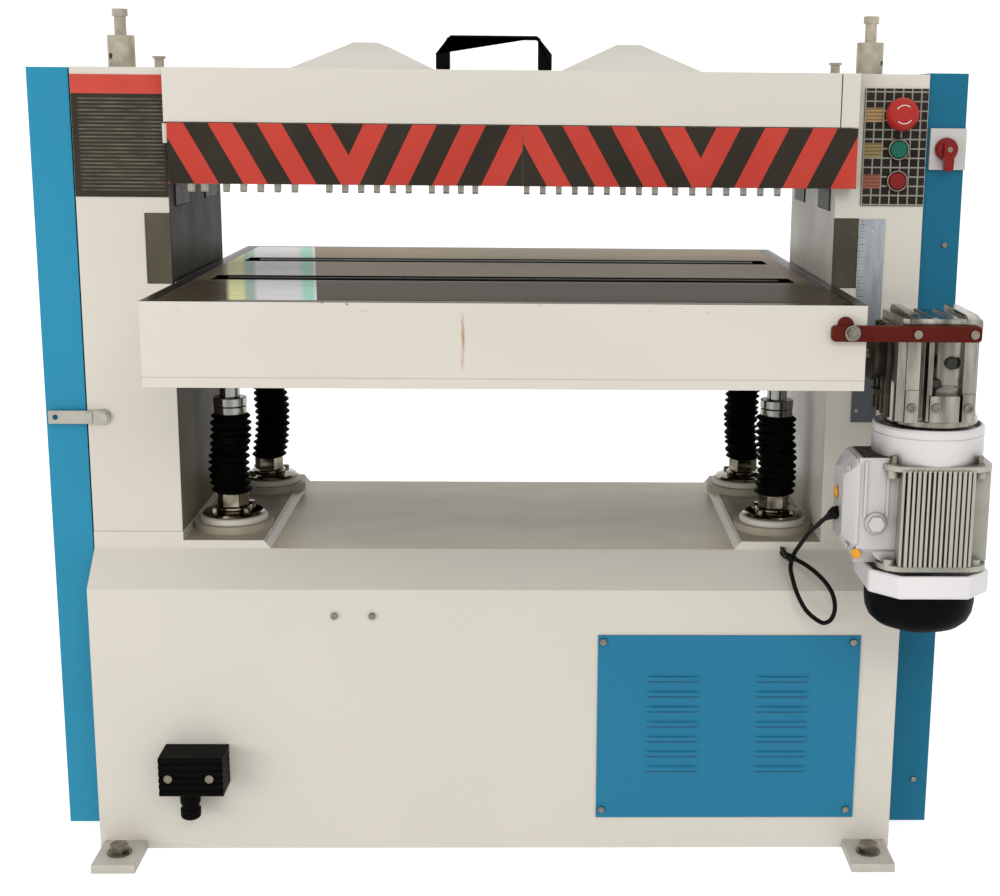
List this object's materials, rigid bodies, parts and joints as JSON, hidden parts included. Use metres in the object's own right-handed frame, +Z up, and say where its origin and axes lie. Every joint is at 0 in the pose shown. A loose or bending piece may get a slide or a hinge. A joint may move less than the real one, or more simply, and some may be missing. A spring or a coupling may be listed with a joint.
{
  "type": "thickness planer",
  "caption": "Wide thickness planer: a table rising on screws between two columns, under a cutterhead with feed rollers, striped guards, dust chutes and a gearmotor at its side",
  "frame": {"origin": "on the floor, midway between the columns' inner faces and midway between their front and back faces", "axes": "+X to the right as the operator faces the machine, +Y through the machine towards the outfeed side, +Z up"},
  "size_m": [1.4344, 0.9104, 1.312],
  "materials": {
    "cream_paint": "semi-gloss warm cream enamel",
    "blue_paint": "semi-gloss blue enamel",
    "hazard_paint": "red and black diagonal stripes",
    "black_plastic": "matt black plastic",
    "black_rubber": "matt black rubber",
    "machined_steel": "machined steel",
    "ground_iron": "ground cast iron",
    "guide_iron": "oiled machined iron",
    "cast_aluminium": "cast aluminium",
    "motor_grey": "grey enamel",
    "motor_paint": "dark grey enamel",
    "dark_plate": "dark anodised plate",
    "red_plastic": "glossy red plastic",
    "green_plastic": "glossy green plastic",
    "bronze": "bronze",
    "arm_red": "dark red primer",
    "bright_steel": "bright plated steel"
  },
  "bodies": {
    "frame": {"base_cabinet": "cream_paint", "column_left": "cream_paint", "column_right": "cream_paint", "rear_beam": "cream_paint", "striped_guards": "hazard_paint", "front_plates": "dark_plate", "switch_plates": "dark_plate", "guideways": "guide_iron", "pressure_adjusters": "machined_steel", "bearing_housings": "guide_iron", "pressure_bars": "machined_steel", "finger_shaft": "machined_steel", "lift_flanges": "bright_steel", "main_motor": "motor_paint", "feed_motor": "motor_paint", "lift_motor": "motor_paint", "drive_belts": "black_rubber", "feed_chain": "machined_steel", "lift_chain": "machined_steel", "right_cover": "blue_paint", "vent_panel": "blue_paint", "panel_screws": "bright_steel", "mains_inlet": "black_plastic", "foot_plates": "cream_paint", "foot_bolts": "bright_steel", "cable_clip": "black_plastic", "motor_cable": "black_rubber", "bellows_front": "black_rubber", "bellows_rear": "black_rubber", "door_fittings": "machined_steel"},
    "left_door": {"left_door": "blue_paint"},
    "latch": {"latch_bar": "machined_steel"},
    "hood": {"hood_shell": "cream_paint", "hood_handle": "black_plastic", "dust_chutes": "cream_paint"},
    "table": {"table_frame": "cream_paint", "table_plate": "ground_iron", "lift_screws": "bright_steel", "gearbox": "cast_aluminium", "gear_motor": "motor_grey", "torque_arm": "arm_red", "bed_chain": "machined_steel"},
    "bed_roller_front": {"bed_roller_front": "machined_steel"},
    "bed_roller_rear": {"bed_roller_rear": "machined_steel"},
    "bed_drive": {"bed_drive_shaft": "machined_steel"},
    "cutterhead": {"cutterhead": "machined_steel"},
    "motor_pulley": {"motor_pulley": "machined_steel"},
    "infeed_roller": {"infeed_roller": "machined_steel"},
    "outfeed_roller": {"outfeed_roller": "machined_steel"},
    "feed_sprocket": {"feed_sprocket": "machined_steel"},
    "fingers": {"kickback_fingers": "machined_steel"},
    "nut_front_left": {"nut_front_left": "bronze"},
    "nut_front_right": {"nut_front_right": "bronze"},
    "nut_rear_left": {"nut_rear_left": "bronze"},
    "nut_rear_right": {"nut_rear_right": "bronze"},
    "lift_sprocket": {"lift_sprocket": "machined_steel"},
    "estop": {"estop_button": "red_plastic"},
    "start": {"start_button": "green_plastic"},
    "stop": {"stop_button": "red_plastic"},
    "isolator": {"isolator_knob": "red_plastic"}
  },
  "joints": [
    {"name": "door_swing", "type": "hinge", "parent": "frame", "child": "left_door", "pos_m": [-0.652, 0.207, 0.6], "axis": [0, 0, -1], "range_deg": [0, 90]},
    {"name": "latch_swing", "type": "hinge", "parent": "frame", "child": "latch", "pos_m": [-0.62, -0.207, 0.696], "axis": [0, 1, 0], "range_deg": [0, 90]},
    {"name": "hood_lift", "type": "hinge", "parent": "frame", "child": "hood", "pos_m": [0, 0.208, 1.156], "axis": [-1, 0, 0], "range_deg": [0, 75]},
    {"name": "table_lift", "type": "slide", "parent": "frame", "child": "table", "axis": [0, 0, 1], "range_m": [-0.1, 0.13], "deforming": ["bellows_front", "bellows_rear", "motor_cable"]},
    {"name": "nut_front_left_spin", "type": "hinge", "parent": "frame", "child": "nut_front_left", "pos_m": [-0.442, -0.11, 0.48], "axis": [0, 0, 1], "range_deg": [-6020, 7820]},
    {"name": "nut_front_right_spin", "type": "hinge", "parent": "frame", "child": "nut_front_right", "pos_m": [0.442, -0.11, 0.48], "axis": [0, 0, 1], "range_deg": [-6020, 7820]},
    {"name": "nut_rear_left_spin", "type": "hinge", "parent": "frame", "child": "nut_rear_left", "pos_m": [-0.427, 0.16, 0.48], "axis": [0, 0, 1], "range_deg": [-6020, 7820]},
    {"name": "nut_rear_right_spin", "type": "hinge", "parent": "frame", "child": "nut_rear_right", "pos_m": [0.427, 0.16, 0.48], "axis": [0, 0, 1], "range_deg": [-6020, 7820]},
    {"name": "lift_drive_spin", "type": "hinge", "parent": "frame", "child": "lift_sprocket", "pos_m": [0, -0.165, 0.461], "axis": [0, 0, 1], "range_deg": [-6020, 7820]},
    {"name": "bed_drive_spin", "type": "hinge", "parent": "table", "child": "bed_drive", "pos_m": [0.55, -0.385, 0.829], "axis": [1, 0, 0], "continuous": true},
    {"name": "bed_front_spin", "type": "hinge", "parent": "table", "child": "bed_roller_front", "pos_m": [0, -0.15, 0.871], "axis": [1, 0, 0], "continuous": true},
    {"name": "bed_rear_spin", "type": "hinge", "parent": "table", "child": "bed_roller_rear", "pos_m": [0, 0.15, 0.871], "axis": [1, 0, 0], "continuous": true},
    {"name": "cutter_spin", "type": "hinge", "parent": "frame", "child": "cutterhead", "pos_m": [0, 0, 1.1145], "axis": [1, 0, 0], "continuous": true},
    {"name": "main_motor_spin", "type": "hinge", "parent": "frame", "child": "motor_pulley", "pos_m": [-0.65, 0, 0.25], "axis": [1, 0, 0], "continuous": true},
    {"name": "infeed_spin", "type": "hinge", "parent": "frame", "child": "infeed_roller", "pos_m": [0, -0.115, 1.095], "axis": [1, 0, 0], "continuous": true},
    {"name": "outfeed_spin", "type": "hinge", "parent": "frame", "child": "outfeed_roller", "pos_m": [0, 0.115, 1.095], "axis": [1, 0, 0], "continuous": true},
    {"name": "feed_motor_spin", "type": "hinge", "parent": "frame", "child": "feed_sprocket", "pos_m": [0.6, 0, 0.3], "axis": [1, 0, 0], "continuous": true},
    {"name": "finger_swing", "type": "hinge", "parent": "frame", "child": "fingers", "pos_m": [0, -0.188, 1.092], "axis": [1, 0, 0], "range_deg": [0, 40]},
    {"name": "estop_push", "type": "slide", "parent": "frame", "child": "estop", "axis": [0, 1, 0], "range_m": [0, 0.006], "stiffness_N_per_m": 1500, "springref_m": -0.001},
    {"name": "start_push", "type": "slide", "parent": "frame", "child": "start", "axis": [0, 1, 0], "range_m": [0, 0.004], "stiffness_N_per_m": 1200, "springref_m": -0.001},
    {"name": "stop_push", "type": "slide", "parent": "frame", "child": "stop", "axis": [0, 1, 0], "range_m": [0, 0.004], "stiffness_N_per_m": 1200, "springref_m": -0.001},
    {"name": "isolator_turn", "type": "hinge", "parent": "frame", "child": "isolator", "pos_m": [0.669, -0.208, 1.115], "axis": [0, -1, 0], "range_deg": [0, 90]}
  ],
  "couplings": [
    {"joint": "nut_front_left_spin", "follows": "table_lift", "rad_per_m": 1047.2},
    {"joint": "nut_front_right_spin", "follows": "table_lift", "rad_per_m": 1047.2},
    {"joint": "nut_rear_left_spin", "follows": "table_lift", "rad_per_m": 1047.2},
    {"joint": "nut_rear_right_spin", "follows": "table_lift", "rad_per_m": 1047.2},
    {"joint": "lift_drive_spin", "follows": "table_lift", "rad_per_m": 1047.2},
    {"joint": "bed_drive_spin", "follows": "bed_front_spin", "ratio": 1},
    {"joint": "bed_rear_spin", "follows": "bed_front_spin", "ratio": 1},
    {"joint": "main_motor_spin", "follows": "cutter_spin", "ratio": 0.58824},
    {"joint": "outfeed_spin", "follows": "infeed_spin", "ratio": 1},
    {"joint": "feed_motor_spin", "follows": "infeed_spin", "ratio": 1}
  ]
}
